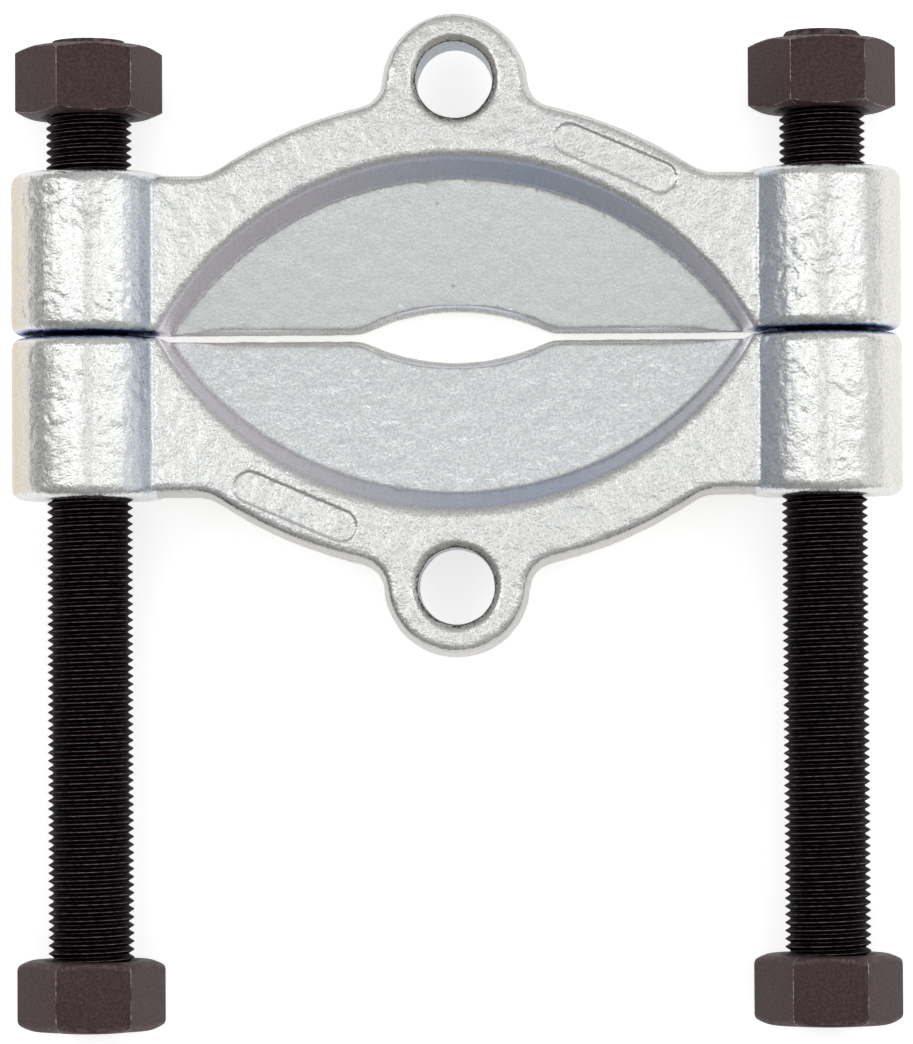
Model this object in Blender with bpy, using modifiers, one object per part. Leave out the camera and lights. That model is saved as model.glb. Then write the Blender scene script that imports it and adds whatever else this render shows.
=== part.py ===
"""Bearing separator: two forged jaw halves drawn together on two threaded spindles.

All sizes are metres. X runs across the tool from one spindle to the other, Y runs along
the spindles, and Z points up, away from the flat side that goes against a bearing. The
tool lies on the round bosses that its spindles pass through. Heights in a half are
measured from the split plane between the two halves.
"""
import bmesh
import bpy
import math
from mathutils import Matrix, Vector

# Spindles: a fully threaded rod each, 16 mm fine, with a nut fixed at its lower end.
SPINDLE_SPACING = 0.1375
SPINDLE_DIAMETER = 0.0160
SPINDLE_LENGTH = 0.1855
SPINDLE_END_CHAMFER = 0.0013
LEFT_SPINDLE_TOP = 0.0556
RIGHT_SPINDLE_TOP = 0.0563

# Nuts: hexagons chamfered on both faces. Clamp nuts run on the spindles' upper ends.
NUT_ACROSS_FLATS = 0.0240
NUT_HEIGHT = 0.0130
NUT_FACE_DIAMETER = 0.0228
NUT_FIT = 0.0003
NUT_COUNTERSINK = 0.0008
NUT_CHAMFER_ANGLE = math.radians(22)
LEFT_CLAMP_GAP = 0.0108
RIGHT_CLAMP_GAP = 0.0110
LEFT_CLAMP_TURN = math.radians(9.5)
RIGHT_CLAMP_TURN = math.radians(2.5)

# Fixed nuts: held at the spindles' lower ends, which stand slightly proud of them.
LEFT_FIXED_INSET = 0.0004
RIGHT_FIXED_INSET = 0.0003
LEFT_FIXED_TURN = math.radians(7)
RIGHT_FIXED_TURN = math.radians(-1)

# Bosses: the round ends of each half, bored for the spindles.
SPLIT_GAP = 0.0005
BOSS_DIAMETER = 0.0292
BOSS_LENGTH = 0.0303
BOSS_EDGE_RADIUS = 0.0020
BORE_CLEARANCE = 0.0005
BORE_CHAMFER = 0.0005

# Plate: the arched web between the bosses, with a lug for a puller's rod at its crown.
PLATE_THICKNESS = 0.0160
PLATE_EDGE_RADIUS = 0.0012
PLATE_DRAFT = math.radians(7)
PLATE_REACH_INTO_BOSS = 0.0045
SHOULDER_DROP = 0.0003
SHOULDER_FILLET = 0.0080
ARCH_RADIUS = 0.0800
ARCH_CROWN = 0.0449
LUG_HEIGHT = 0.0467
LUG_RADIUS = 0.0137
LUG_NECK_RADIUS = 0.0050
LUG_HOLE_HEIGHT = 0.0472
LUG_HOLE_DIAMETER = 0.0142
LUG_HOLE_CHAMFER = 0.0012

# Pocket: the recess in the upper side, whose floor falls away toward the knife edge.
POCKET_RADIUS = 0.0635
POCKET_CROWN = 0.0330
POCKET_RIM_RADIUS = 0.0014
POCKET_WALL_LEAN = math.radians(22)
POCKET_FOOT_RADIUS = 0.0649
FLOOR_AT_WALL = 0.0075
FLOOR_SLOPE = math.radians(10.7)

# Knife edge: the thin edge that goes in behind a bearing, with its opening for a shaft.
KNIFE_RECESS = 0.0003
KNIFE_LAND = 0.00115
KNIFE_BEVEL = 0.0011
BEVEL_RUNOUT = 0.0110
OPENING_RADIUS = 0.0400
OPENING_DEPTH = 0.0042
OPENING_BLEND = 0.0100

# How finely round shapes are drawn, and how far a cutter passes what it cuts.
ROUND_STEPS = 48
EDGE_STEPS = 3
ARCH_STEPS = 10
FILLET_STEPS = 4
LUG_STEPS = 12
OPENING_STEPS = 8
POCKET_STEPS = 24
CUT_PAST = 0.0020
BEVEL_CUT_PAST = 0.0003
MERGE = 0.00001
SMOOTH_BELOW = math.radians(35)

# Sizes that follow from those above.
HEXAGON_HALF_SIDE = math.radians(30)
nut_corner = NUT_ACROSS_FLATS / 2 / math.cos(HEXAGON_HALF_SIDE)
boss_radius = BOSS_DIAMETER / 2
spindle_radius = SPINDLE_DIAMETER / 2
bore_radius = spindle_radius + BORE_CLEARANCE
half_base = SPLIT_GAP / 2
boss_top = half_base + BOSS_LENGTH
knife_line = half_base + KNIFE_RECESS
shoulder_line = boss_top - SHOULDER_DROP
plate_front = PLATE_THICKNESS / 2
plate_back = -PLATE_THICKNESS / 2

# The tool's outline is centred over the origin, and its bosses touch the ground.
lowest_end = min(LEFT_SPINDLE_TOP, RIGHT_SPINDLE_TOP) - SPINDLE_LENGTH
highest_end = max(LUG_HEIGHT + LUG_RADIUS, LEFT_SPINDLE_TOP, RIGHT_SPINDLE_TOP)
split_y = -(lowest_end + highest_end) / 2
axis_z = boss_radius

ON_END = -math.pi / 2
UPWARD = math.pi / 2
DOWNWARD = -math.pi / 2


def clear_scene():
    """Remove the objects that a new file starts with."""
    for thing in list(bpy.data.objects):
        bpy.data.objects.remove(thing, do_unlink=True)


def new_collection(name):
    """Add a collection to the scene."""
    group = bpy.data.collections.new(name)
    bpy.context.scene.collection.children.link(group)
    return group


def new_object(name, mesh, group):
    """Make an object from a mesh and put it in a collection."""
    thing = bpy.data.objects.new(name, mesh)
    group.objects.link(thing)
    return thing


def metal(name, colour, roughness, metallic):
    """Make a Principled material for a metal surface."""
    material = bpy.data.materials.new(name)
    material.use_nodes = True
    shader = material.node_tree.nodes["Principled BSDF"]
    shader.inputs["Base Color"].default_value = (*colour, 1.0)
    shader.inputs["Roughness"].default_value = roughness
    shader.inputs["Metallic"].default_value = metallic
    return material


def arc(centre, radius, start, end, steps):
    """Points on an arc of a circle, from one angle to another."""
    angles = [start + (end - start) * step / steps for step in range(steps + 1)]
    return [centre + Vector((math.cos(angle), math.sin(angle))) * radius for angle in angles]


def heading(from_point, to_point):
    """Angle of the line from one point to another."""
    step = to_point - from_point
    return math.atan2(step.y, step.x)


def mirrored(right_side):
    """A right-hand outline followed back down by its left-hand mirror image."""
    left_side = [Vector((-point.x, point.y)) for point in reversed(right_side)]
    return right_side + [point for point in left_side if point.x < -MERGE]


def at_height(outline, z):
    """A flat outline placed at one height."""
    return [Vector((point.x, point.y, z)) for point in outline]


def quarter_round(radius):
    """Pairs of drop from a face and distance drawn in, from the wall up to the face."""
    angles = [math.pi / 2 * step / EDGE_STEPS for step in range(EDGE_STEPS + 1)]
    return [(radius * (1 - math.sin(a)), radius * (1 - math.cos(a))) for a in angles]


def loft(name, sections, group):
    """Close a solid through outlines that have equally many points."""
    mesh = bpy.data.meshes.new(name)
    shape = bmesh.new()
    rings = [[shape.verts.new(point) for point in section] for section in sections]
    for low, high in zip(rings, rings[1:]):
        for here in range(len(low)):
            after = (here + 1) % len(low)
            shape.faces.new((low[here], low[after], high[after], high[here]))
    shape.faces.new(reversed(rings[0]))
    shape.faces.new(rings[-1])
    bmesh.ops.recalc_face_normals(shape, faces=shape.faces)
    shape.to_mesh(mesh)
    shape.free()
    return new_object(name, mesh, group)


def turned(name, profile, group):
    """Turn a profile of (radius, height) points, top to bottom, about the Z axis."""
    mesh = bpy.data.meshes.new(name)
    points = [(radius, 0, height) for radius, height in profile]
    mesh.from_pydata(points, [(i, i + 1) for i in range(len(points) - 1)], [])
    thing = new_object(name, mesh, group)
    screw = thing.modifiers.new("Turn", "SCREW")
    screw.axis = "Z"
    screw.steps = ROUND_STEPS
    screw.render_steps = ROUND_STEPS
    screw.use_merge_vertices = True
    screw.merge_threshold = MERGE
    return thing


def through_hole(name, radius, length, chamfer, group):
    """Cutter for a hole from Z = 0 up through a length, chamfered at both ends."""
    wide = radius + chamfer + CUT_PAST
    profile = [(0, length + CUT_PAST), (wide, length + CUT_PAST), (radius, length - chamfer),
               (radius, chamfer), (wide, -CUT_PAST), (0, -CUT_PAST)]
    return turned(name, profile, group)


def combine(thing, tool, operation):
    """Join a solid to another or cut it by another, which stays as a hidden tool."""
    boolean = thing.modifiers.new(tool.name, "BOOLEAN")
    boolean.operation = operation
    boolean.object = tool
    tool.parent = thing
    tool.hide_render = True
    tool.display_type = "WIRE"


def settle(thing, material):
    """Apply a solid's modifiers, and shade it smooth where it is round."""
    bpy.context.view_layer.update()
    graph = bpy.context.evaluated_depsgraph_get()
    mesh = bpy.data.meshes.new_from_object(thing.evaluated_get(graph))
    mesh.name = thing.name
    thing.modifiers.clear()
    thing.data = mesh
    mesh.materials.clear()
    mesh.materials.append(material)
    mesh.shade_smooth()
    mesh.set_sharp_from_angle(angle=SMOOTH_BELOW)


def meeting_point(centre_a, reach_a, centre_b, reach_b):
    """Right-hand point at given distances from two centres, one above the other."""
    apart = centre_b.y - centre_a.y
    rise = (reach_a ** 2 - reach_b ** 2 + apart ** 2) / (2 * apart)
    return Vector((math.sqrt(reach_a ** 2 - rise ** 2), centre_a.y + rise))


def hollow_centre(circle_centre, circle_radius, fillet, line_height):
    """Centre of a fillet that lies on a level line and touches a circle from outside."""
    y = line_height + fillet
    reach = circle_radius + fillet
    return Vector((math.sqrt(reach ** 2 - (y - circle_centre.y) ** 2), y))


def knife_side(offset):
    """Right half of the knife edge from the opening's crown outward, set in by an offset."""
    opening = Vector((0, knife_line + OPENING_DEPTH - OPENING_RADIUS))
    blend = hollow_centre(opening, OPENING_RADIUS, OPENING_BLEND, knife_line)
    crown = arc(opening, OPENING_RADIUS + offset, UPWARD, heading(opening, blend), OPENING_STEPS)
    run_out = arc(blend, OPENING_BLEND - offset, heading(blend, opening), DOWNWARD, FILLET_STEPS)
    return crown + run_out[1:]


def plate_outline(inset):
    """Outline of the plate with its forged sides, but not its knife edge, drawn in."""
    arch = Vector((0, ARCH_CROWN - ARCH_RADIUS))
    lug = Vector((0, LUG_HEIGHT))
    shoulder = hollow_centre(arch, ARCH_RADIUS, SHOULDER_FILLET, shoulder_line)
    neck = meeting_point(arch, ARCH_RADIUS + LUG_NECK_RADIUS, lug, LUG_RADIUS + LUG_NECK_RADIUS)
    end_x = SPINDLE_SPACING / 2 - boss_radius + PLATE_REACH_INTO_BOSS
    side = knife_side(0)
    side += [Vector((end_x, knife_line)), Vector((end_x, shoulder_line - inset))]
    for centre, radius, start, end, steps in (
            (shoulder, SHOULDER_FILLET + inset, DOWNWARD, heading(shoulder, arch), FILLET_STEPS),
            (arch, ARCH_RADIUS - inset, heading(arch, shoulder), heading(arch, neck), ARCH_STEPS),
            (neck, LUG_NECK_RADIUS + inset, heading(neck, arch), heading(neck, lug), FILLET_STEPS),
            (lug, LUG_RADIUS - inset, heading(lug, neck), UPWARD, LUG_STEPS)):
        side += arc(centre, radius, start, end, steps)[:-1]
    side.append(Vector((0, LUG_HEIGHT + LUG_RADIUS - inset)))
    return mirrored(side)


def make_plate(name, group):
    """Loft the plate, drafted both ways from its middle and rounded at its edges."""
    upper = [(plate_front - drop, inset) for drop, inset in quarter_round(PLATE_EDGE_RADIUS)]
    lower = [(-z, inset) for z, inset in reversed(upper)]
    sections = []
    for z, inset in lower + [(0, 0)] + upper:
        draft = abs(z) * math.tan(PLATE_DRAFT)
        sections.append(at_height(plate_outline(inset + draft), z))
    return loft(name, sections, group)


def make_boss(name, group):
    """Turn one boss, rounded at both ends."""
    edge = quarter_round(BOSS_EDGE_RADIUS)
    top = [(boss_radius - inset, BOSS_LENGTH - drop) for drop, inset in reversed(edge)]
    bottom = [(boss_radius - inset, drop) for drop, inset in edge]
    return turned(name, [(0, BOSS_LENGTH)] + top + bottom + [(0, 0)], group)


def pocket_line(crown, radius, flare):
    """Arched outline of the pocket across both sides, widened by a flare."""
    centre = Vector((0, crown - radius))
    lowest = math.asin((-CUT_PAST - centre.y) / radius)
    return mirrored(arc(centre, radius + flare, lowest, UPWARD, POCKET_STEPS))


def pocket_foot():
    """Line where the pocket's leaning wall meets its sloping floor."""
    depth = PLATE_THICKNESS - FLOOR_AT_WALL
    crown = POCKET_CROWN - math.tan(POCKET_WALL_LEAN) * depth
    return [Vector((point.x, point.y,
                    plate_front - depth + math.tan(FLOOR_SLOPE) * (point.y - crown)))
            for point in pocket_line(crown, POCKET_FOOT_RADIUS, 0)]


def make_pocket(name, group):
    """Loft the cutter for the pocket: sloping floor, leaning wall and rounded rim."""
    foot = pocket_foot()
    rim = pocket_line(POCKET_CROWN, POCKET_RADIUS, 0)
    leans = [(high - low.xy) / (plate_front - low.z) for low, high in zip(foot, rim)]
    sections = [foot]
    levels = [(plate_front - drop, flare) for drop, flare in quarter_round(POCKET_RIM_RADIUS)]
    levels.append((plate_front + CUT_PAST, POCKET_RIM_RADIUS))
    for z, flare in levels:
        flared = pocket_line(POCKET_CROWN, POCKET_RADIUS, flare)
        outline = [point + lean * (z - plate_front) for point, lean in zip(flared, leans)]
        sections.append(at_height(outline, z))
    return loft(name, sections, group)


def make_knife_bevel(name, group):
    """Loft the cutter for the bevel along the knife edge, which fades at its ends."""
    centre_y = POCKET_CROWN - POCKET_RADIUS
    end_x = math.sqrt(POCKET_RADIUS ** 2 - (knife_line - centre_y) ** 2)
    top_of_land = plate_back + KNIFE_LAND
    sections = []
    for offset, z in ((-BEVEL_CUT_PAST, top_of_land - BEVEL_CUT_PAST),
                      (KNIFE_BEVEL, top_of_land + KNIFE_BEVEL),
                      (KNIFE_BEVEL, plate_front)):
        side = knife_side(offset)
        side.append(Vector((end_x - BEVEL_RUNOUT, knife_line + offset)))
        side.append(Vector((end_x, knife_line - BEVEL_CUT_PAST)))
        side.append(Vector((end_x, -CUT_PAST)))
        sections.append(at_height(mirrored(side), z))
    return loft(name, sections, group)


def make_half(name, parts, cutters, material):
    """Model one forged half, standing on the split plane with its lug upward along Y."""
    half = make_plate(name, parts)
    for side, sign in (("left", -1), ("right", 1)):
        boss = make_boss(side + "_boss", cutters)
        boss.location = (sign * SPINDLE_SPACING / 2, half_base, 0)
        boss.rotation_euler = (ON_END, 0, 0)
        combine(half, boss, "UNION")
    combine(half, make_pocket("pocket", cutters), "DIFFERENCE")
    combine(half, make_knife_bevel("knife_bevel", cutters), "DIFFERENCE")
    lug_hole = through_hole("lug_hole", LUG_HOLE_DIAMETER / 2, PLATE_THICKNESS,
                            LUG_HOLE_CHAMFER, cutters)
    lug_hole.location = (0, LUG_HOLE_HEIGHT, plate_back)
    combine(half, lug_hole, "DIFFERENCE")
    for side, sign in (("left", -1), ("right", 1)):
        bore = through_hole(side + "_bore", bore_radius, BOSS_LENGTH, BORE_CHAMFER, cutters)
        bore.location = (sign * SPINDLE_SPACING / 2, half_base, 0)
        bore.rotation_euler = (ON_END, 0, 0)
        combine(half, bore, "DIFFERENCE")
    settle(half, material)
    return half


def make_spindle(name, x, top, parts, material):
    """Turn a spindle with chamfered ends and lay it along its axis."""
    radius, chamfer = spindle_radius, SPINDLE_END_CHAMFER
    profile = [(0, SPINDLE_LENGTH), (radius - chamfer, SPINDLE_LENGTH),
               (radius, SPINDLE_LENGTH - chamfer), (radius, chamfer), (radius - chamfer, 0), (0, 0)]
    spindle = turned(name, profile, parts)
    settle(spindle, material)
    spindle.location = (x, split_y + top - SPINDLE_LENGTH, axis_z)
    spindle.rotation_euler = (ON_END, 0, 0)


def nut_envelope():
    """Profile of a nut's chamfered faces, wider than its corners, from top to bottom."""
    face = NUT_FACE_DIAMETER / 2
    wide = nut_corner + CUT_PAST
    drop = (wide - face) * math.tan(NUT_CHAMFER_ANGLE)
    return [(0, NUT_HEIGHT), (face, NUT_HEIGHT), (wide, NUT_HEIGHT - drop), (wide, drop),
            (face, 0), (0, 0)]


def make_nut(name, x, y, turn, parts, cutters, material):
    """Cut a nut from hexagonal bar and set its lower face at a height on a spindle."""
    mesh = bpy.data.meshes.new(name)
    shape = bmesh.new()
    bar_length = NUT_HEIGHT + 2 * CUT_PAST
    placed = Matrix.Translation((0, 0, NUT_HEIGHT / 2)) @ Matrix.Rotation(HEXAGON_HALF_SIDE, 4, "Z")
    bmesh.ops.create_cone(shape, cap_ends=True, segments=6, radius1=nut_corner, radius2=nut_corner,
                          depth=bar_length, matrix=placed)
    shape.to_mesh(mesh)
    shape.free()
    nut = new_object(name, mesh, parts)
    combine(nut, turned(name + "_envelope", nut_envelope(), cutters), "INTERSECT")
    hole = through_hole(name + "_hole", spindle_radius + NUT_FIT, NUT_HEIGHT, NUT_COUNTERSINK,
                        cutters)
    combine(nut, hole, "DIFFERENCE")
    settle(nut, material)
    nut.location = (x, split_y + y, axis_z)
    nut.rotation_euler = (ON_END, turn, 0)


def main():
    """Model the whole separator."""
    clear_scene()
    parts = new_collection("bearing_separator")
    cutters = new_collection("cutters")
    zinc = metal("zinc_plated_forging", (0.60, 0.61, 0.62), 0.42, 1.0)
    black_steel = metal("blackened_thread", (0.025, 0.020, 0.022), 0.45, 0.6)
    black_nut = metal("blackened_nut", (0.070, 0.050, 0.052), 0.60, 0.3)

    upper = make_half("upper_half", parts, cutters, zinc)
    upper.location = (0, split_y, axis_z)
    lower = new_object("lower_half", upper.data, parts)
    lower.location = (0, split_y, axis_z)
    lower.rotation_euler = (0, 0, math.pi)

    for side, sign, top, gap, inset, clamp_turn, fixed_turn in (
            ("left", -1, LEFT_SPINDLE_TOP, LEFT_CLAMP_GAP, LEFT_FIXED_INSET,
             LEFT_CLAMP_TURN, LEFT_FIXED_TURN),
            ("right", 1, RIGHT_SPINDLE_TOP, RIGHT_CLAMP_GAP, RIGHT_FIXED_INSET,
             RIGHT_CLAMP_TURN, RIGHT_FIXED_TURN)):
        x = sign * SPINDLE_SPACING / 2
        make_spindle(side + "_spindle", x, top, parts, black_steel)
        make_nut(side + "_clamp_nut", x, boss_top + gap, clamp_turn, parts, cutters, black_nut)
        make_nut(side + "_fixed_nut", x, top - SPINDLE_LENGTH + inset, fixed_turn, parts,
                 cutters, black_nut)


main()
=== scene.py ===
"""Finishes and fine shapes for a packed bearing separator, laid out as a Blender add-on.

Everything is in metres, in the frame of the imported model: X runs across the tool from one
spindle to the other, Y along the spindles, and Z up, away from the flat side.
"""
import math

import bmesh
import bpy
from bpy.props import FloatProperty, FloatVectorProperty, IntProperty, PointerProperty
from bpy.types import Operator, Panel, PropertyGroup
from mathutils import Matrix, Vector, noise


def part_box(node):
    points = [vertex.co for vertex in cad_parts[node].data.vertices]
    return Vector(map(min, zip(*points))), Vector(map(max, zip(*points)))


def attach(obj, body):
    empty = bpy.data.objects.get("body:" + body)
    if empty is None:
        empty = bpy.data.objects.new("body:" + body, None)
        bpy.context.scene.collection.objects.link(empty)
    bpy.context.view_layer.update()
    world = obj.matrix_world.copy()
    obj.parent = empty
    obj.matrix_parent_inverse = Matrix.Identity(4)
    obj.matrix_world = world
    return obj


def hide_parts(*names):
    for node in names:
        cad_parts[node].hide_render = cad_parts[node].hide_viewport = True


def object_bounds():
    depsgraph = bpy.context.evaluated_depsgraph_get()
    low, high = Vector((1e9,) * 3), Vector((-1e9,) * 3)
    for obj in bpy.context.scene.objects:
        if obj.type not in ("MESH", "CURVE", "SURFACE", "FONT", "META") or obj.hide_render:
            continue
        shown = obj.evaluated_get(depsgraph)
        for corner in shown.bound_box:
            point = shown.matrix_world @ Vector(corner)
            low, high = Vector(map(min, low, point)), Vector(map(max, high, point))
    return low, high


bl_info = {
    "name": "Bearing separator finishes",
    "version": (1, 0, 0),
    "blender": (4, 5, 0),
    "location": "3D View > Sidebar > Separator",
    "description": "Forged halves, cut threads, nuts and studio for a packed bearing separator",
    "category": "Object",
}

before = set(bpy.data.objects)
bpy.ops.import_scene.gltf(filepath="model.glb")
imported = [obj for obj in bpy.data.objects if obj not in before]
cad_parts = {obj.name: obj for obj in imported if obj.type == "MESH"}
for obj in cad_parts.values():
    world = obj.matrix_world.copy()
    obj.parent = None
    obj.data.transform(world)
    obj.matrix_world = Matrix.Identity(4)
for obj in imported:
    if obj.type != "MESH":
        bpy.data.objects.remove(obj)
PACKED_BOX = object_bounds()
MM = 0.001

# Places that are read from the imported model.
SPLIT_Y = (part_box("upper_half")[0].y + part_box("lower_half")[1].y) / 2
AXIS_Z = (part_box("upper_half")[0].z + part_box("upper_half")[1].z) / 2
AXIS_X = {side: (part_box(side + "_spindle")[0].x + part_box(side + "_spindle")[1].x) / 2
          for side in ("left", "right")}
TOOL_CENTRE = (PACKED_BOX[0] + PACKED_BOX[1]) / 2

# Where the parts of a forged half lie. Heights are counted from the spindles' axes, and a
# slope is the Z part of a surface's normal, which is 1 on a flat face.
BOSS_REACH = 13 * MM
POCKET_HALF_WIDTH = 56 * MM
FLOOR_TOP = 6 * MM
FLOOR_SLOPE = 0.95
WALL_BOTTOM, WALL_TOP = -6 * MM, 8 * MM
BEVEL_TOP = -4 * MM
BEVEL_SLOPES = 0.1, 0.95
INWARD = -0.3
BORE_TOP = 6.5 * MM
BORE_SLOPE = 0.5
CHEEK_BOTTOM = 5 * MM
FRONT_BOTTOM = 7 * MM
EDGE_SLOPE, EDGE_SPREAD = 0.6, 0.35
PATCH_EDGE = 4
PAD_SLOPE = 0.9
PAD_STEP_BOTTOM = 7.5 * MM
PAD_STEP_SHARES = -1.5, 2.5
LEFT_BEVEL_X = -25 * MM

# Where a finish sets in and where it is full. Outward is the part of a normal that points away
# from the tool's middle, and steepness is 0 on a flat face and 1 on an upright one.
STRAW_OUTWARD = 0.62, 0.90
CHEEK_OUTWARD = -0.45, -0.70
CREVICE_FROM_SPLIT = 1.2 * MM, 0.4 * MM
RIM_STEEPNESS = 0.05, 0.35
WALL_STEEPNESS = 0.25, 0.50
SIDE_STEEPNESS = 0.25, 0.55

# Along a pocket's wall, places are shares of its reach, from -1 on the left to 1 on the right.
WALL_REACH = 45 * MM
COOLEST_PLACE = 0.3
# How much the film brightens the wall as painted light, in its middle and towards the right.
MIDDLE_FILM, FILM_TO_RIGHT = 0.07, -0.13
WALL_BLASTING = 0.3

# A hexagon nut's shape, and the sides that its curves are drawn with.
HEXAGON_HALF_SIDE = math.radians(30)
CORNER_STEPS, FLAT_STEPS, EDGE_STEPS = 4, 16, 3
PAST_FACE = 0.1 * MM

# A metric thread's depth and its crest's half width, in pitches, and the crest's rounding. The
# helix starts and ends whole turns past the rod, and is then cut to its length.
THREAD_DEPTH, THREAD_CREST = 0.6134, 1 / 16
THREAD_ROUNDING = 0.02 * MM
TURNS_BEFORE, TURNS_PAST = 2, 1
CUT_MARGIN = 0.0001 * MM

# Nuts: side, kind, body and turn in degrees.
NUTS = (("left", "clamp", "left_clamp", 9.5), ("right", "clamp", "right_clamp", 2.5),
        ("left", "fixed", "left_screw", 7), ("right", "fixed", "right_screw", -1))

# Lamps: name, place from the tool's middle, size and power in watts.
LAMPS = (("left_softbox", (-0.62, 0.18, 0.95), (0.26, 1.2), 2.0),
         ("right_softbox", (0.58, 0.18, 0.95), (0.22, 1.2), 1.55),
         ("top_softbox", (0, 0.3, 1.55), (1.2, 2.4), 1.5),
         ("right_card", (1.4, -0.1, 0.55), (0.8, 1.8), 1.6))

# Light of the room from its left to its right, and what its front and back add to it.
ROOM_LEFT, ROOM_RIGHT = 0.42, 0.66
ROOM_FRONT, ROOM_BACK = -0.14, 0.10

# The camera's place, its turn in degrees, and its lens and sensor in millimetres.
CAMERA_PLACE = (0.01913, -0.03009, 0.94365)
CAMERA_TURN = (1.8303, 1.1956, -0.3200)
CAMERA_LENS, CAMERA_SENSOR = 171.36, 36


def linear(colour):
    """Linear red, green, blue and alpha of an sRGB colour such as "#C0C4C8"."""
    parts = [int(colour[place:place + 2], 16) / 255 for place in (1, 3, 5)]
    return [part / 12.92 if part <= 0.04045 else ((part + 0.055) / 1.055) ** 2.4
            for part in parts] + [1.0]


def size_of(name, text, size):
    """A length that a user can change, in metres."""
    return FloatProperty(name=name, description=text, default=size, unit="LENGTH", precision=5)


def share_of(name, text, share):
    """A share from 0 to 1 that a user can change."""
    return FloatProperty(name=name, description=text, default=share, min=0, max=1)


def colour_of(name, text, colour):
    """A colour that a user can change."""
    return FloatVectorProperty(name=name, description=text, default=linear(colour)[:3],
                               subtype="COLOR", min=0, max=1)


class ForgingSettings(PropertyGroup):
    """Surface of the two drop-forged halves."""
    grid: size_of("Grid", "Grid that the forged skin is drawn on", 0.32 * MM)
    softening: IntProperty(name="Softening", description="Passes that round the forged edges",
                           default=1, min=0)
    most_triangles: IntProperty(name="Most triangles", description="Limit for one half",
                                default=190000, min=1000)
    wave: size_of("Wave", "Distance between the hollows that the die leaves", 3.2 * MM)
    wave_depth: size_of("Wave depth", "Depth of those hollows", 0.08 * MM)
    dimple: size_of("Dimple", "Distance between the larger marks of the shot", 1.2 * MM)
    dimple_depth: size_of("Dimple depth", "Depth of those marks", 0.065 * MM)
    scale_mark: size_of("Scale mark", "Distance between the creases left by forging scale", 3.6 * MM)
    scale_depth: size_of("Scale depth", "Depth of the creases on the bosses", 0.10 * MM)
    pad_reach: size_of("Pad reach", "From the split and middle to the marking pad", 32.2 * MM)
    pad_x: size_of("Pad x", "From the middle to the marking pad", 29.9 * MM)
    pad_length: size_of("Pad length", "Length of the bare marking pad", 24.3 * MM)
    pad_width: size_of("Pad width", "Width of the bare marking pad", 5.8 * MM)
    pad_depth: size_of("Pad depth", "Depth of the bare marking pad", 0.3 * MM)
    pad_step: size_of("Pad step", "Width of the step round the marking pad", 0.35 * MM)
    hole_reach: size_of("Hole reach", "From the split to a lug hole's middle", 47.2 * MM)
    hole_rim: size_of("Hole rim", "From a lug hole's middle past its chamfer", 8.5 * MM)
    pad_slope: FloatProperty(name="Pad slope", description="Lean of the marking pad",
                             default=math.radians(-23.3), subtype="ANGLE")
    crease_narrowing: FloatProperty(name="Crease narrowing", default=5.0, min=1,
                                    description="How narrow the creases of forging scale are")
    scale_patch: FloatProperty(name="Scale patch", default=4.0, min=1,
                               description="Size of the creased patches, in scale marks")
    scale_cover: share_of("Scale cover", "How much of the bosses the creased patches cover", 0.15)
    lower_scale: share_of("Lower scale", "Share of the creases' depth on the lower half", 0.5)
    smooth_floor: share_of("Smooth floor", "Unevenness left on the upper half's floor", 0.4)
    calm_edge: share_of("Calm edge", "How far the unevenness dies away at edges and rims", 0.75)
    # The straw is partly a painted warm sheen. It is weaker on the right side, where the light falls
    # differently, and at the holes.
    right_straw: share_of("Right straw", "Share of the straw cast on the right and at holes", 0.35)
    # The lavender on the cheeks is a painted cool reflection.
    cool_cheek: share_of("Cool cheek", "Lavender cast where a boss turns to the plate", 0.6)
    # The film brightens bevels and walls as painted light. On the upper bevel's left part it stands
    # in for a highlight.
    left_bevel_film: share_of("Bevel film", "Milky film on the upper bevel's left part", 0.85)
    bevel_film: share_of("Film", "Milky film on the rest of the bevels", 0.3)
    # Shares of the floor colour that lighten each half's pocket floor: painted light.
    upper_floor_light: share_of("Upper floor", "How clean the upper half's floor is", 0.8)
    lower_floor_light: share_of("Lower floor", "How clean the lower half's floor is", 0.9)
    zinc: colour_of("Zinc", "Bright zinc plating", "#E6E5E1")
    zinc_shade: colour_of("Zinc in shade", "Duller patches of the plating", "#DADBD9")
    # The pit colour is painted shade in the grit's pits.
    pit_shade: colour_of("Pit", "Tone that the plating is dulled by in the pits", "#E6E9EB")
    # Straw is partly the passivation's tint and partly a painted warm sheen on sides that face
    # outward.
    straw: colour_of("Straw", "Warm cast of the passivation on outer sides", "#D2C4B2")
    # Lavender is partly the passivation's tint and partly a painted cool reflection in the recesses
    # and on the cheeks.
    lavender: colour_of("Lavender", "Cool cast of the passivation in the recesses", "#CCD4E6")
    # The wall colour is the plating's pinkish tint, set light to brighten the walls: painted light.
    wall: colour_of("Wall", "Bare, smooth plating of the pockets' walls", "#E9E1E8")
    # The floor colour is painted light: it whitens the pockets' floors.
    floor: colour_of("Pocket floor", "Cleaner plating on the pockets' floors", "#F7FAFA")
    # The bore colour makes the lug holes' walls a darker blue grey.
    bore: colour_of("Bore", "Thin, dark plating inside the lug holes", "#7E8993")
    # The side colour is painted shade: it darkens the steep outer sides.
    side: colour_of("Side", "Duller plating where the flash was trimmed off", "#BDB9B4")
    # Painted shade in a blue tone, in the gap where two bosses nearly meet.
    gap_shade: colour_of("Crevice", "Blue cast where two bosses nearly meet", "#8391B6")


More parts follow.
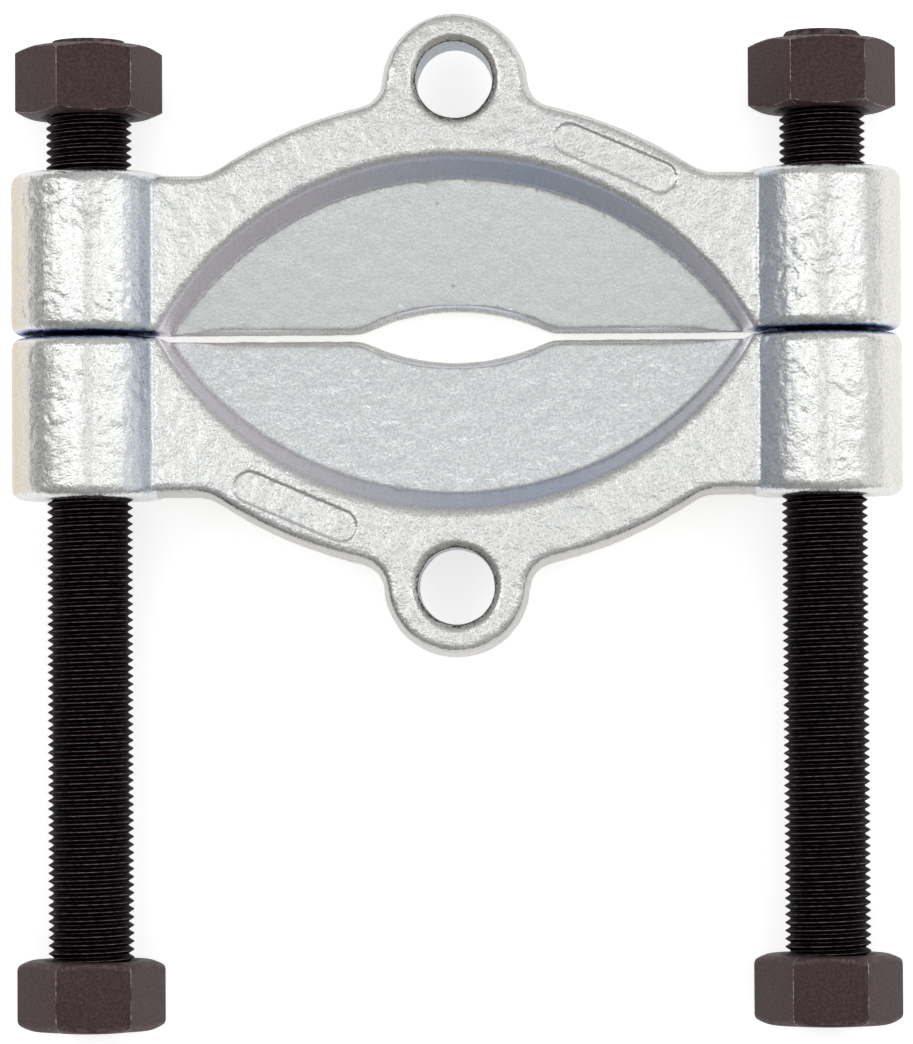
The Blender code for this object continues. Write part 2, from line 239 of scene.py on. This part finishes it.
class ThreadSettings(PropertyGroup):
    """Metric fine thread of the spindles."""
    diameter: size_of("Diameter", "Outer diameter of the thread", 16.0 * MM)
    pitch: size_of("Pitch", "Distance between the crests", 1.5 * MM)
    end_chamfer: size_of("End chamfer", "Chamfer at each end of a spindle", 1.3 * MM)
    steps: IntProperty(name="Steps", description="Sides of one turn", default=60, min=12)
    # Root gleam and end gleam are painted highlights.
    root_gleam: share_of("Root gleam", "Brightness of the root by the crest", 0.35)
    end_gleam: share_of("End gleam", "Brightness of the chamfered ends", 0.5)
    black: colour_of("Black", "Black oxide with oil on it", "#070305")
    # The crest colour is partly oxide rubbed off the crests and partly a painted highlight.
    crest: colour_of("Crest", "Crests where the oxide has rubbed bright", "#8E7C80")


class NutSettings(PropertyGroup):
    """Hexagon nuts."""
    flats: size_of("Across flats", "Width of a nut across its flats", 24.0 * MM)
    height: size_of("Height", "Height of a nut", 13.0 * MM)
    face: size_of("Face", "Diameter of the flat ring inside the chamfer", 22.8 * MM)
    bore: size_of("Bore", "Diameter of the hole, clear of the thread", 16.6 * MM)
    countersink: size_of("Countersink", "Chamfer at the mouth of the hole", 0.8 * MM)
    corner: size_of("Corner", "Radius that the hexagon's corners are worn to", 0.15 * MM)
    softening: size_of("Softening", "Distance that the other edges are rounded over", 0.2 * MM)
    fixed_softening: size_of("Fixed softening", "The same on the fixed nuts, which are rounder",
                             0.9 * MM)
    chamfer: FloatProperty(name="Chamfer", description="Angle of the chamfer on both faces",
                           default=math.radians(22), subtype="ANGLE")
    black: colour_of("Black", "Matte black oxide", "#301A1D")
    dull: colour_of("Dull", "Duller specks in the oxide", "#523A3D")
    worn: colour_of("Worn", "Edges where the oxide has rubbed thin", "#D2C6C2")
    line: FloatProperty(name="Worn line", description="Width of the worn line along a corner",
                        default=math.radians(0.5), subtype="ANGLE")
    arc_wear: share_of("Arc wear", "Wear along the chamfer's arcs", 0.5)


class StageSettings(PropertyGroup):
    """Floor, lamps and camera."""
    floor: colour_of("Floor", "White paper", "#F4F4F4")
    floor_size: size_of("Floor size", "Width of the floor", 6.0)
    glow: share_of("Glow", "Light that the paper gives off where it is seen", 0.6)


def add_node(tree, kind, inputs=None, **settings):
    """Add a node with its settings, and set or link its inputs."""
    node = tree.nodes.new(kind)
    for name, value in settings.items():
        setattr(node, name, value)
    for name, value in (inputs or {}).items():
        if isinstance(value, bpy.types.NodeSocket):
            tree.links.new(value, node.inputs[name])
        else:
            node.inputs[name].default_value = value
    return node


def new_material(name):
    """A material with an empty node tree, and its Principled shader linked to the output."""
    material = bpy.data.materials.new(name)
    material.use_nodes = True
    tree = material.node_tree
    tree.nodes.clear()
    shader = add_node(tree, "ShaderNodeBsdfPrincipled")
    add_node(tree, "ShaderNodeOutputMaterial", {"Surface": shader.outputs[0]})
    return material, tree, shader


def mark(tree, name):
    """Value of a mark that was noted on the mesh."""
    return add_node(tree, "ShaderNodeAttribute", attribute_name=name).outputs["Fac"]


def mixed(tree, share, first, second, **settings):
    """Colour between two others, by a share."""
    inputs = {0: share, 6: first, 7: second}
    return add_node(tree, "ShaderNodeMix", inputs, data_type="RGBA", **settings).outputs[2]


def speckle(tree, place, size, **inputs):
    """Noise with features of a given size."""
    inputs = {"Vector": place, "Scale": 1 / size, **inputs}
    return add_node(tree, "ShaderNodeTexNoise", inputs).outputs["Fac"]


def ranged(tree, value, low, high, least=0.0, most=1.0):
    """A value spread from the range low to high over the range least to most."""
    inputs = {"Value": value, "From Min": low, "From Max": high, "To Min": least, "To Max": most}
    return add_node(tree, "ShaderNodeMapRange", inputs).outputs["Result"]


def combined(tree, operation, first, second):
    """Result of a sum, product or other operation on two values."""
    return add_node(tree, "ShaderNodeMath", {0: first, 1: second}, operation=operation).outputs[0]


def zinc_plated_forging(settings):
    """Bright zinc over a shot-blasted drop forging: pale grey metal with a fine sparkle."""
    material, tree, shader = new_material("zinc_plated_forging")
    place = add_node(tree, "ShaderNodeTexCoord").outputs["Object"]
    # Grit of about 0.5 mm, which gives the eye a fine sparkle.
    grit = speckle(tree, place, 0.5 * MM, Detail=1.5, Roughness=0.55)
    # Clouds of about 14 mm, where the bath left the zinc duller.
    cloud = speckle(tree, place, 14 * MM, Detail=3.0)
    tone = mixed(tree, cloud, (*settings.zinc_shade, 1), (*settings.zinc, 1))
    # The clear passivation is straw on the outer sides and lavender in the recesses. Both are partly
    # painted: a warm painted sheen outside and a cool painted reflection in the recesses.
    for name, colour in (("cast", settings.straw), ("wall", settings.wall),
                         ("floor", settings.floor), ("recess", settings.lavender),
                         ("side", settings.side), ("bore", settings.bore),
                         ("gap_shade", settings.gap_shade)):
        tone = mixed(tree, mark(tree, name), tone, (*colour, 1))
    # Blasted pits are painted duller and cooler than the peaks between them: painted shade of the
    # grit.
    peak = ranged(tree, grit, 0.35, 0.62)
    shaded_pits = mixed(tree, peak, (*settings.pit_shade, 1), linear("#FFFFFF"))
    blasted = mark(tree, "blasted")
    tone = mixed(tree, blasted, tone, shaded_pits, blend_type="MULTIPLY")
    rough = ranged(tree, grit, 0.3, 0.7, 0.24, 0.32)
    # The film mark makes the pockets' walls and bevels less metallic, so that they take more light:
    # painted light, which on the upper bevel's left part stands in for a highlight.
    bare = combined(tree, "SUBTRACT", 1.0, mark(tree, "film"))
    bump = add_node(tree, "ShaderNodeBump", {"Height": grit, "Strength": blasted,
                    "Distance": 0.075 * MM})
    tree.links.new(tone, shader.inputs["Base Color"])
    tree.links.new(rough, shader.inputs["Roughness"])
    tree.links.new(bump.outputs["Normal"], shader.inputs["Normal"])
    tree.links.new(bare, shader.inputs["Metallic"])
    return material


def oiled_black_oxide_thread(settings):
    """Black oxide on a cut thread, wiped with oil: near black, with a thin painted highlight on the
    crests.
    """
    material, tree, shader = new_material("oiled_black_oxide_thread")
    place = add_node(tree, "ShaderNodeTexCoord").outputs["Object"]
    smear = speckle(tree, place, 2.5 * MM, Detail=3.0)
    rough = ranged(tree, smear, 0.3, 0.7, 0.28, 0.45)
    # Patches of about 1.2 mm, between which the crests stay dark.
    patch = speckle(tree, place, 1.2 * MM, Detail=2.0)
    rubbed = ranged(tree, patch, 0.35, 0.65, 0.25, 1.0)
    # The crest mark carries rubbed crests and painted highlights on crests, roots and ends.
    share = combined(tree, "MULTIPLY", mark(tree, "crest"), rubbed)
    tone = mixed(tree, share, (*settings.black, 1), (*settings.crest, 1))
    tree.links.new(tone, shader.inputs["Base Color"])
    tree.links.new(rough, shader.inputs["Roughness"])
    shader.inputs["Metallic"].default_value = 0.8
    # Oil and oxide take the light at a grazing angle, so that the flanks stay black.
    shader.inputs["Specular Tint"].default_value = linear("#707070")
    return material


def matte_black_oxide_nut(settings):
    """Matte black oxide on a forged nut: dark brown grey, paler where edges have rubbed."""
    material, tree, shader = new_material("matte_black_oxide_nut")
    place = add_node(tree, "ShaderNodeTexCoord").outputs["Object"]
    mottle = speckle(tree, place, 0.45 * MM, Detail=3.0, Roughness=0.6)
    speck = ranged(tree, mottle, 0.35, 0.65)
    patch = speckle(tree, place, 3.0 * MM, Detail=3.0)
    rubbed = ranged(tree, patch, 0.36, 0.56)
    # Nicks of about 0.5 mm break the rubbed lines up into bright specks.
    nick = speckle(tree, place, 0.5 * MM, Detail=1.0)
    bright = ranged(tree, nick, 0.42, 0.6, 0.25, 1.0)
    share = combined(tree, "MULTIPLY", mark(tree, "wear"), rubbed)
    share = combined(tree, "MULTIPLY", share, bright)
    body = mixed(tree, speck, (*settings.black, 1), (*settings.dull, 1))
    tone = mixed(tree, share, body, (*settings.worn, 1))
    bump = add_node(tree, "ShaderNodeBump", {"Height": mottle, "Strength": 0.5,
                    "Distance": 0.11 * MM})
    tree.links.new(tone, shader.inputs["Base Color"])
    tree.links.new(bump.outputs["Normal"], shader.inputs["Normal"])
    shader.inputs["Roughness"].default_value = 0.58
    shader.inputs["Metallic"].default_value = 0.25
    return material


def new_piece(name, mesh, material, body, node):
    """Put a finished mesh in the scene, on its body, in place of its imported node."""
    piece = bpy.data.objects.new(name, mesh)
    bpy.context.scene.collection.objects.link(piece)
    mesh.materials.clear()
    mesh.materials.append(material)
    mesh.shade_smooth()
    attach(piece, body)
    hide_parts(node)
    return piece


def applied(mesh, kind, **settings):
    """A copy of a mesh with one modifier applied to it."""
    holder = bpy.data.objects.new("holder", mesh)
    bpy.context.scene.collection.objects.link(holder)
    modifier = holder.modifiers.new(kind, kind)
    for name, value in settings.items():
        setattr(modifier, name, value)
    graph = bpy.context.evaluated_depsgraph_get()
    result = bpy.data.meshes.new_from_object(holder.evaluated_get(graph))
    bpy.data.objects.remove(holder)
    return result


def moved(mesh, place):
    """Move a mesh from the origin to its place on the tool."""
    mesh.transform(Matrix.Translation(place))


def welded(mesh):
    """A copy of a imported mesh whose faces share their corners, for one closed skin."""
    shape = bmesh.new()
    shape.from_mesh(mesh)
    bmesh.ops.remove_doubles(shape, verts=shape.verts, dist=0.001 * MM)
    skin = bpy.data.meshes.new(mesh.name + "_skin")
    shape.to_mesh(skin)
    shape.free()
    return skin


def clamped(value):
    """A value held between 0 and 1."""
    return min(1.0, max(0.0, value))


def ramp(value, start, full):
    """A value's place between a start and a full value, held between 0 and 1."""
    return clamped((value - start) / (full - start))


def pad_share(settings, across, up):
    """How far inside the marking pad a point of a half's front lies: 0 outside, 1 inside."""
    slope = settings.pad_slope
    along = (across - settings.pad_x) * math.cos(slope) + (up - settings.pad_reach) * math.sin(slope)
    beside = (up - settings.pad_reach) * math.cos(slope) - (across - settings.pad_x) * math.sin(slope)
    straight = (settings.pad_length - settings.pad_width) / 2
    reach = math.hypot(max(0.0, abs(along) - straight), beside)
    return (settings.pad_width / 2 - reach) / settings.pad_step + 0.5


def on_boss(point):
    """Whether a point lies on one of the round bosses."""
    return abs(point.x) > AXIS_X["right"] - BOSS_REACH


def on_floor(point, normal):
    """Whether a point lies on a pocket's floor."""
    return (point.z - AXIS_Z < FLOOR_TOP and normal.z > FLOOR_SLOPE
            and abs(point.x) < POCKET_HALF_WIDTH)


def on_bevel(point, normal, sign):
    """Whether a point lies on a knife edge's bevel."""
    return (point.z - AXIS_Z < BEVEL_TOP and normal.y * sign < INWARD
            and BEVEL_SLOPES[0] < normal.z < BEVEL_SLOPES[1])


def calmed(point, normal, settings):
    """Share of the unevenness that is left at a point, which is less along the plate's edges."""
    if on_boss(point):
        return 1.0
    return 1 - settings.calm_edge * max(0.0, 1 - abs(normal.z - EDGE_SLOPE) / EDGE_SPREAD)


def forged_skin(node, sign, seed, settings):
    """Give a packed half the softened edges and uneven skin of a forging."""
    mesh = applied(welded(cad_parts[node].data), "REMESH", mode="VOXEL",
                   voxel_size=settings.grid)
    mesh = applied(mesh, "SMOOTH", factor=0.5, iterations=settings.softening)
    skin = bmesh.new()
    skin.from_mesh(mesh)
    near_step = []
    for edge in skin.edges:
        point = edge.verts[0].co
        share = pad_share(settings, sign * point.x, sign * (point.y - SPLIT_Y))
        if (point.z - AXIS_Z > PAD_STEP_BOTTOM
                and PAD_STEP_SHARES[0] < share < PAD_STEP_SHARES[1]):
            near_step.append(edge)
    bmesh.ops.subdivide_edges(skin, edges=near_step, cuts=1, use_grid_fill=True)
    skin.normal_update()
    shift = Vector((seed, 2 * seed, 3 * seed))
    moves = []
    for vertex in skin.verts:
        point, normal = vertex.co, vertex.normal
        across, up = sign * point.x, sign * (point.y - SPLIT_Y)
        height = point.z - AXIS_Z
        move = settings.wave_depth * noise.noise(point / settings.wave + shift)
        move += settings.dimple_depth * noise.noise(point / settings.dimple - shift)
        if sign > 0 and on_floor(point, normal):
            move *= settings.smooth_floor
        if height > 0 and on_boss(point):
            crease = 1 - settings.crease_narrowing * abs(
                noise.noise(point / settings.scale_mark + 2 * shift))
            patch = settings.scale_cover + noise.noise(
                point / (settings.scale_patch * settings.scale_mark) - 2 * shift)
            depth = settings.scale_depth * (1.0 if sign > 0 else settings.lower_scale)
            move -= depth * max(0, crease) * clamped(PATCH_EDGE * patch)
        move *= calmed(point, normal, settings)
        if normal.z > PAD_SLOPE and height > FRONT_BOTTOM:
            move -= settings.pad_depth * clamped(pad_share(settings, across, up))
        moves.append(point + normal * move)
    for vertex, point in zip(skin.verts, moves):
        vertex.co = point
    skin.to_mesh(mesh)
    skin.free()
    mesh.update()
    triangles = sum(len(face.vertices) - 2 for face in mesh.polygons)
    if triangles > settings.most_triangles:
        mesh = applied(mesh, "DECIMATE", ratio=settings.most_triangles / triangles)
    mark_finish(mesh, sign, settings)
    return mesh


def mark_finish(mesh, sign, settings):
    """Note how the plating is tinted, where light and shade are painted on it, and how hard it was
    blasted.
    """
    marks = {"cast": [], "recess": [], "wall": [], "gap_shade": [], "blasted": [], "floor": [],
             "film": [], "side": [], "bore": []}
    for vertex in mesh.vertices:
        point, normal = vertex.co, vertex.normal
        side = 1 if point.x > 0 else -1
        height = point.z - AXIS_Z
        outward, steep = normal.x * side, 1 - normal.z
        straw = cool = wall = gap_shade = film = trimmed = bore = 0.0
        up = sign * (point.y - SPLIT_Y)
        inward = normal.y * sign < INWARD
        if on_boss(point):
            # Straw tint and painted warm sheen on sides that face outward, weaker on the right.
            straw = ramp(outward, *STRAW_OUTWARD) * (settings.right_straw if side > 0 else 1.0)
            if height > CHEEK_BOTTOM:
                # Painted cool reflection where a boss turns to the plate.
                cool = settings.cool_cheek * ramp(outward, *CHEEK_OUTWARD)
            # Painted blue shade on the end faces next to the split.
            gap_shade = ramp(abs(up), *CREVICE_FROM_SPLIT)
        elif math.hypot(point.x, up - settings.hole_reach) < settings.hole_rim:
            if height >= BORE_TOP:
                # Straw tint and painted warm sheen on the hole's chamfered rim.
                straw = settings.right_straw * ramp(steep, *RIM_STEEPNESS)
            # The lug holes' walls are made a darker blue grey.
            elif normal.z < BORE_SLOPE:
                bore = 1.0
        elif WALL_BOTTOM < height < WALL_TOP and inward:
            wall = ramp(steep, *WALL_STEEPNESS)
            toward_right = min(1, max(-1, point.x / WALL_REACH))
            # Painted cool reflection along the wall, strongest a little right of its middle.
            cool = wall * clamped(1 - abs(toward_right - COOLEST_PLACE))
            # More film on the left of the wall brightens it there: painted light.
            film = wall * max(0, MIDDLE_FILM + FILM_TO_RIGHT * toward_right)
        elif on_bevel(point, normal, sign):
            # Film brightens the bevels as painted light, most on the upper bevel's left part as a
            # painted highlight.
            on_left = sign > 0 and point.x < LEFT_BEVEL_X
            film = settings.left_bevel_film if on_left else settings.bevel_film
        elif normal.y * sign > INWARD:
            # Steep outer sides are darkened by the side colour: painted shade.
            trimmed = ramp(steep, *SIDE_STEEPNESS)
        smooth = sign > 0 and on_floor(point, normal) or on_bevel(point, normal, sign)
        # Floors are whitened by the floor colour: painted light.
        lightened = settings.upper_floor_light if sign > 0 else settings.lower_floor_light
        marks["cast"].append(straw)
        marks["recess"].append(cool)
        marks["wall"].append(wall)
        marks["gap_shade"].append(gap_shade)
        hard = 1 - (1 - WALL_BLASTING) * wall
        marks["blasted"].append(settings.smooth_floor if smooth else hard)
        marks["floor"].append(on_floor(point, normal) * lightened)
        marks["film"].append(film)
        marks["side"].append(trimmed)
        marks["bore"].append(bore)
    for name, values in marks.items():
        layer = mesh.attributes.new(name, "FLOAT", "POINT")
        layer.data.foreach_set("value", values)


def softened(corners, reach, steps):
    """An outline of (radius, height) corners, each drawn as a short curve."""
    points = []
    for place, corner in enumerate(corners):
        before, after = corners[place - 1], corners[(place + 1) % len(corners)]
        start = corner + (before - corner).normalized() * min(reach, (before - corner).length / 3)
        end = corner + (after - corner).normalized() * min(reach, (after - corner).length / 3)
        for step in range(steps + 1):
            t = step / steps
            points.append(start * (1 - t) ** 2 + corner * (2 * t * (1 - t)) + end * t ** 2)
    return points


def hexagon_corner(settings):
    """Distance from a nut's axis to the middle of a corner's curve, and the curve's half angle."""
    centre = (settings.flats / 2 - settings.corner) / math.cos(HEXAGON_HALF_SIDE)
    touch = math.atan2(settings.corner * math.sin(HEXAGON_HALF_SIDE),
                       centre + settings.corner * math.cos(HEXAGON_HALF_SIDE))
    return centre, touch


def hexagon_reach(angle, settings):
    """Distance from a nut's axis to its side at an angle from a corner, and if it is the corner."""
    centre, touch = hexagon_corner(settings)
    if abs(angle) > touch:
        return settings.flats / 2 / math.cos(HEXAGON_HALF_SIDE - abs(angle)), 0.0
    rise = centre * math.sin(angle)
    return centre * math.cos(angle) + math.sqrt(settings.corner ** 2 - rise ** 2), 1.0


def nut_angles(settings):
    """Angles from the nearest corner at which a nut is drawn, close together at the corner."""
    _, touch = hexagon_corner(settings)
    corner = [touch * step / CORNER_STEPS for step in range(-CORNER_STEPS, CORNER_STEPS + 1)]
    rest = 2 * HEXAGON_HALF_SIDE - 2 * touch
    return corner + [touch + rest * step / FLAT_STEPS for step in range(1, FLAT_STEPS)]


def nut_mesh(name, settings, turn, softening):
    """A chamfered hexagon nut round the Y axis, with its lower face at zero."""
    bore, face, height = settings.bore / 2, settings.face / 2, settings.height
    shape = bmesh.new()
    layer = shape.verts.layers.float.new("wear")
    arc_wear = settings.arc_wear * settings.softening / softening
    rings = []
    for side in range(6):
        for angle in nut_angles(settings):
            nearest = angle if angle < HEXAGON_HALF_SIDE else angle - 2 * HEXAGON_HALF_SIDE
            reach, rubbed = hexagon_reach(nearest, settings)
            drop = (reach - face) * math.tan(settings.chamfer)
            sunk = settings.countersink
            arcs = (reach, drop), (reach, height - drop)
            corners = [(bore, sunk), (bore + sunk, 0), (face, 0), *arcs, (face, height),
                       (bore + sunk, height), (bore, height - sunk)]
            around = angle + side * 2 * HEXAGON_HALF_SIDE - turn
            ring = []
            outline = softened([Vector(corner) for corner in corners], softening, EDGE_STEPS)
            for place, point in enumerate(outline):
                corner, step = divmod(place, EDGE_STEPS + 1)
                vertex = shape.verts.new((point.x * math.cos(around), point.y,
                                          point.x * math.sin(around)))
                on_arc = corners[corner] in arcs and 0 < step < EDGE_STEPS
                on_corner = point.x > face + PAST_FACE and abs(nearest) < settings.line / 2
                vertex[layer] = max(on_arc * arc_wear, on_corner * rubbed)
                ring.append(vertex)
            rings.append(ring)
    for ring, following in zip(rings, rings[1:] + rings[:1]):
        for place in range(len(ring)):
            after = (place + 1) % len(ring)
            shape.faces.new((ring[place], ring[after], following[after], following[place]))
    bmesh.ops.recalc_face_normals(shape, faces=shape.faces)
    mesh = bpy.data.meshes.new(name)
    shape.to_mesh(mesh)
    shape.free()
    return mesh


def thread_mesh(name, length, settings):
    """A right-hand thread along the Y axis from zero, cut and chamfered at both ends."""
    radius, pitch, steps = settings.diameter / 2, settings.pitch, settings.steps
    depth = THREAD_DEPTH * pitch
    crest = THREAD_CREST * pitch
    root = crest + depth * math.tan(HEXAGON_HALF_SIDE)
    profile = [(-crest, radius - THREAD_ROUNDING), (0, radius), (crest, radius - THREAD_ROUNDING),
               (root, radius - depth + THREAD_ROUNDING), (pitch / 2, radius - depth),
               (pitch - root, radius - depth + THREAD_ROUNDING)]
    turns = math.ceil(length / pitch) + TURNS_BEFORE + TURNS_PAST
    shape = bmesh.new()
    layer = shape.verts.layers.float.new("crest")
    rows = []
    for step in range((turns + 1) * steps + 1):
        around = 2 * math.pi * step / steps
        row = []
        for along, reach in profile:
            y = pitch * (step / steps - TURNS_BEFORE) + along
            from_end = min(y, length - y)
            reach = min(reach, radius - settings.end_chamfer + max(from_end, 0))
            vertex = shape.verts.new((reach * math.sin(around), y, reach * math.cos(around)))
            # Crests, roots and chamfered ends get painted highlights through the crest mark.
            vertex[layer] = {0: 1.0, pitch / 2: settings.root_gleam}.get(along, 0.0)
            if from_end < settings.end_chamfer:
                vertex[layer] = settings.end_gleam
            row.append(vertex)
        rows.append(row)
    for step in range(turns * steps):
        here, after = rows[step], rows[step + 1]
        next_here, next_after = rows[step + steps][0], rows[step + steps + 1][0]
        ends = list(zip(here + [next_here], after + [next_after]))
        for (low, low_after), (high, high_after) in zip(ends, ends[1:]):
            shape.faces.new((low, low_after, high_after, high))
    for place, outward in ((0, -1), (length, 1)):
        cut = bmesh.ops.bisect_plane(shape, geom=shape.verts[:] + shape.edges[:] + shape.faces[:],
                                     dist=CUT_MARGIN, plane_co=(0, place, 0),
                                     plane_no=(0, outward, 0), clear_outer=True)
        middle = shape.verts.new((0, place, 0))
        middle[layer] = settings.end_gleam
        for part in cut["geom_cut"]:
            if isinstance(part, bmesh.types.BMEdge):
                part.smooth = False
                shape.faces.new((*part.verts, middle))
    bmesh.ops.recalc_face_normals(shape, faces=shape.faces)
    mesh = bpy.data.meshes.new(name)
    shape.to_mesh(mesh)
    shape.free()
    return mesh


class SEPARATOR_OT_forged_halves(Operator):
    """Make the two forged halves"""
    bl_idname = "separator.forged_halves"
    bl_label = "Forged halves"

    def execute(self, context):
        settings = context.scene.separator_forging
        material = zinc_plated_forging(settings)
        for node, sign, seed in (("upper_half", 1, 3.7), ("lower_half", -1, 11.3)):
            mesh = forged_skin(node, sign, seed, settings)
            new_piece(node + "_forging", mesh, material, node, node)
        return {"FINISHED"}


class SEPARATOR_OT_spindles(Operator):
    """Make the two threaded spindles"""
    bl_idname = "separator.spindles"
    bl_label = "Threaded spindles"

    def execute(self, context):
        settings = context.scene.separator_thread
        material = oiled_black_oxide_thread(settings)
        for side, x in AXIS_X.items():
            node = side + "_spindle"
            low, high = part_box(node)
            mesh = thread_mesh(node, high.y - low.y, settings)
            moved(mesh, (x, low.y, AXIS_Z))
            new_piece(side + "_threaded_rod", mesh, material, side + "_screw", node)
        return {"FINISHED"}


class SEPARATOR_OT_nuts(Operator):
    """Make the four hexagon nuts"""
    bl_idname = "separator.nuts"
    bl_label = "Hexagon nuts"

    def execute(self, context):
        settings = context.scene.separator_nut
        material = matte_black_oxide_nut(settings)
        for side, kind, body, turn in NUTS:
            node = side + "_" + kind + "_nut"
            softening = settings.fixed_softening if kind == "fixed" else settings.softening
            mesh = nut_mesh(node, settings, math.radians(turn), softening)
            moved(mesh, (AXIS_X[side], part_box(node)[0].y, AXIS_Z))
            new_piece(side + "_" + kind + "_hexagon", mesh, material, body, node)
        return {"FINISHED"}


def white_paper_floor(settings):
    """White background paper, matte: shadows lie on it, and it prints as clear white."""
    material, tree, shader = new_material("white_paper_floor")
    place = add_node(tree, "ShaderNodeTexCoord").outputs["Object"]
    fibre = add_node(tree, "ShaderNodeTexNoise", {"Vector": place, "Scale": 1 / (2 * MM)})
    bump = add_node(tree, "ShaderNodeBump", {"Height": fibre.outputs["Fac"], "Strength": 0.05,
                    "Distance": 0.05 * MM})
    tree.links.new(bump.outputs["Normal"], shader.inputs["Normal"])
    shader.inputs["Base Color"].default_value = (*settings.floor, 1)
    shader.inputs["Roughness"].default_value = 0.9
    # The glow whitens the paper for the eye and in reflections, and lights nothing else.
    path = add_node(tree, "ShaderNodeLightPath").outputs
    shown = combined(tree, "MAXIMUM", path["Is Camera Ray"], path["Is Glossy Ray"])
    shown = combined(tree, "MAXIMUM", shown, path["Is Transmission Ray"])
    shown = combined(tree, "MULTIPLY", shown, settings.glow)
    glow = add_node(tree, "ShaderNodeEmission", {"Strength": shown})
    both = add_node(tree, "ShaderNodeAddShader", {0: shader.outputs[0], 1: glow.outputs[0]})
    output = [node for node in tree.nodes if node.type == "OUTPUT_MATERIAL"][0]
    tree.links.new(both.outputs[0], output.inputs["Surface"])
    return material


class SEPARATOR_OT_stage(Operator):
    """Make the floor, the lamps, the world and the camera"""
    bl_idname = "separator.stage"
    bl_label = "Studio"

    def execute(self, context):
        settings = context.scene.separator_stage
        half = settings.floor_size / 2
        mesh = bpy.data.meshes.new("studio_floor")
        mesh.from_pydata([(-half, -half, 0), (half, -half, 0), (half, half, 0), (-half, half, 0)],
                         [], [(0, 1, 2, 3)])
        floor = bpy.data.objects.new("studio_floor", mesh)
        context.scene.collection.objects.link(floor)
        mesh.materials.append(white_paper_floor(settings))
        for name, place, size, power in LAMPS:
            data = bpy.data.lights.new(name, "AREA")
            data.shape = "RECTANGLE"
            data.size, data.size_y = size
            data.energy = power
            lamp = bpy.data.objects.new(name, data)
            lamp.location = TOOL_CENTRE + Vector(place)
            lamp.rotation_euler = (TOOL_CENTRE - lamp.location).to_track_quat("-Z", "Y").to_euler()
            context.scene.collection.objects.link(lamp)
        world = bpy.data.worlds.new("studio_room")
        world.use_nodes = True
        tree = world.node_tree
        # The studio is paler behind the tool and to its right, and darker in front and to its left.
        toward = add_node(tree, "ShaderNodeTexCoord").outputs["Generated"]
        sides = add_node(tree, "ShaderNodeSeparateXYZ", {"Vector": toward})
        across = ranged(tree, sides.outputs["X"], -1.0, 1.0, ROOM_LEFT, ROOM_RIGHT)
        along = ranged(tree, sides.outputs["Y"], -1.0, 1.0, ROOM_FRONT, ROOM_BACK)
        background = tree.nodes["Background"]
        background.inputs["Color"].default_value = linear("#F6F6F6")
        tree.links.new(combined(tree, "ADD", across, along), background.inputs["Strength"])
        context.scene.world = world
        data = bpy.data.cameras.new("catalogue_camera")
        data.lens, data.sensor_width = CAMERA_LENS, CAMERA_SENSOR
        data.clip_start, data.clip_end = 0.01, 20
        camera = bpy.data.objects.new("catalogue_camera", data)
        camera.location = CAMERA_PLACE
        camera.rotation_euler = [math.radians(turn) for turn in CAMERA_TURN]
        context.scene.collection.objects.link(camera)
        context.scene.camera = camera
        context.scene.view_settings.view_transform = "Standard"
        return {"FINISHED"}


class SEPARATOR_PT_pieces(Panel):
    """Sidebar panel that lists the pieces and their sizes"""
    bl_idname = "SEPARATOR_PT_pieces"
    bl_label = "Bearing separator"
    bl_space_type = "VIEW_3D"
    bl_region_type = "UI"
    bl_category = "Separator"

    def draw(self, context):
        for operator, group in STEPS:
            box = self.layout.box()
            box.operator(operator.bl_idname)
            settings = getattr(context.scene, group)
            for name in settings.bl_rna.properties.keys():
                if name not in ("rna_type", "name"):
                    box.prop(settings, name)


STEPS = ((SEPARATOR_OT_forged_halves, "separator_forging"),
         (SEPARATOR_OT_spindles, "separator_thread"),
         (SEPARATOR_OT_nuts, "separator_nut"),
         (SEPARATOR_OT_stage, "separator_stage"))
GROUPS = {"separator_forging": ForgingSettings, "separator_thread": ThreadSettings,
          "separator_nut": NutSettings, "separator_stage": StageSettings}
CLASSES = (*GROUPS.values(), *(operator for operator, group in STEPS), SEPARATOR_PT_pieces)


def register():
    """Register the classes and put the settings on the scene."""
    for item in CLASSES:
        bpy.utils.register_class(item)
    for name, group in GROUPS.items():
        setattr(bpy.types.Scene, name, PointerProperty(type=group))


def unregister():
    """Take the settings and the classes away."""
    for name in GROUPS:
        delattr(bpy.types.Scene, name)
    for item in reversed(CLASSES):
        bpy.utils.unregister_class(item)


def main():
    """Make every piece and the stage."""
    register()
    bpy.ops.separator.forged_halves()
    bpy.ops.separator.spindles()
    bpy.ops.separator.nuts()
    bpy.ops.separator.stage()


if __name__ == "__main__":
    main()
